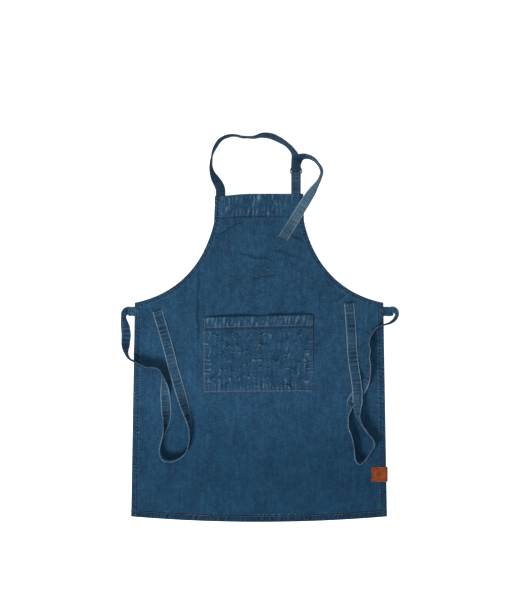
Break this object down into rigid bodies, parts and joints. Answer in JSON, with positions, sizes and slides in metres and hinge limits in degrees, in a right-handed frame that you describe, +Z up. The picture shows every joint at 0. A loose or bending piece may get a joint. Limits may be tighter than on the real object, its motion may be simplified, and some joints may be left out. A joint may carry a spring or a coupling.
{
  "type": "bib apron",
  "caption": "Denim bib apron laid flat, with divided front pocket, leather tab, D-ring adjustable neck strap and waist ties.",
  "frame": {"origin": "middle of the bounding box's underside, on the table the apron lies on; x = 0 is within a few millimetres of the apron's own centre line", "axes": "+X to the right as seen from above with the bib away from the viewer, +Y from the bottom hem to the neck, +Z up off the table, out of the apron's front"},
  "size_m": [0.7591, 1.0632, 0.0315],
  "materials": {
    "body_panel": "matte woven denim",
    "bib_band": "matte woven denim",
    "armhole_hem_left": "matte woven denim",
    "armhole_hem_right": "matte woven denim",
    "side_hem_left": "matte woven denim",
    "side_hem_right": "matte woven denim",
    "bottom_hem": "matte woven denim",
    "pocket_panel": "matte woven denim",
    "pocket_top_hem": "matte woven denim",
    "leather_tab": "satin",
    "neck_strap": "matte woven denim, folded and edge-stitched",
    "neck_strap_sewn_end": "matte woven denim, folded and edge-stitched",
    "neck_strap_tail": "matte woven denim, folded and edge-stitched",
    "ring_strap": "matte woven denim, folded and edge-stitched",
    "ring_strap_sewn_end": "matte woven denim, folded and edge-stitched",
    "d_ring_lower": "dark antique plated steel wire",
    "d_ring_upper": "dark antique plated steel wire",
    "left_tie": "matte woven denim, folded and edge-stitched",
    "left_tie_sewn_end": "matte woven denim, folded and edge-stitched",
    "right_tie": "matte woven denim, folded and edge-stitched",
    "right_tie_sewn_end": "matte woven denim, folded and edge-stitched",
    "pocket_mouth_thread": "tan thread",
    "pocket_divider_thread": "tan thread",
    "bottom_hem_thread": "tan thread",
    "bib_band_thread": "blue thread"
  },
  "bodies": {
    "apron": {"body_panel": "body_panel", "bib_band": "bib_band", "armhole_hem_left": "armhole_hem_left", "armhole_hem_right": "armhole_hem_right", "side_hem_left": "side_hem_left", "side_hem_right": "side_hem_right", "bottom_hem": "bottom_hem", "pocket_panel": "pocket_panel", "pocket_top_hem": "pocket_top_hem", "leather_tab": "leather_tab", "neck_strap_sewn_end": "neck_strap_sewn_end", "ring_strap_sewn_end": "ring_strap_sewn_end", "left_tie_sewn_end": "left_tie_sewn_end", "right_tie_sewn_end": "right_tie_sewn_end", "pocket_mouth_thread": "pocket_mouth_thread", "pocket_divider_thread": "pocket_divider_thread", "bottom_hem_thread": "bottom_hem_thread", "bib_band_thread": "bib_band_thread"},
    "neck_loop": {"neck_strap": "neck_strap", "ring_strap": "ring_strap"},
    "d_ring_lower": {"d_ring_lower": "d_ring_lower"},
    "d_ring_upper": {"d_ring_upper": "d_ring_upper"},
    "neck_tail": {"neck_strap_tail": "neck_strap_tail"},
    "left_tie": {"left_tie": "left_tie"},
    "right_tie": {"right_tie": "right_tie"}
  },
  "joints": [
    {"name": "neck_loop_fold", "type": "hinge", "parent": "apron", "child": "neck_loop", "pos_m": [0, 0.3663, 0.004], "axis": [1, 0, 0], "range_deg": [0, 90]},
    {"name": "neck_tail_fold", "type": "hinge", "parent": "neck_loop", "child": "neck_tail", "pos_m": [0.1595, 0.3965, 0.0275], "axis": [1, 0, 0], "range_deg": [-90, 0]},
    {"name": "d_ring_lower_tilt", "type": "hinge", "parent": "neck_loop", "child": "d_ring_lower", "pos_m": [0.101, 0.422, 0.0034], "axis": [1, 0, 0], "range_deg": [0, 4]},
    {"name": "d_ring_upper_tilt", "type": "hinge", "parent": "neck_loop", "child": "d_ring_upper", "pos_m": [0.101, 0.422, 0.0065], "axis": [1, 0, 0], "range_deg": [0, 4]},
    {"name": "left_tie_swing", "type": "hinge", "parent": "apron", "child": "left_tie", "pos_m": [-0.3587, 0.044, 0.0009], "axis": [0, 0, 1], "range_deg": [-90, 0]},
    {"name": "right_tie_swing", "type": "hinge", "parent": "apron", "child": "right_tie", "pos_m": [0.3587, 0.044, 0.0009], "axis": [0, 0, 1], "range_deg": [0, 90]}
  ],
  "couplings": [
    {"joint": "neck_tail_fold", "follows": "neck_loop_fold", "ratio": -1},
    {"joint": "d_ring_lower_tilt", "follows": "d_ring_upper_tilt", "ratio": 1}
  ]
}
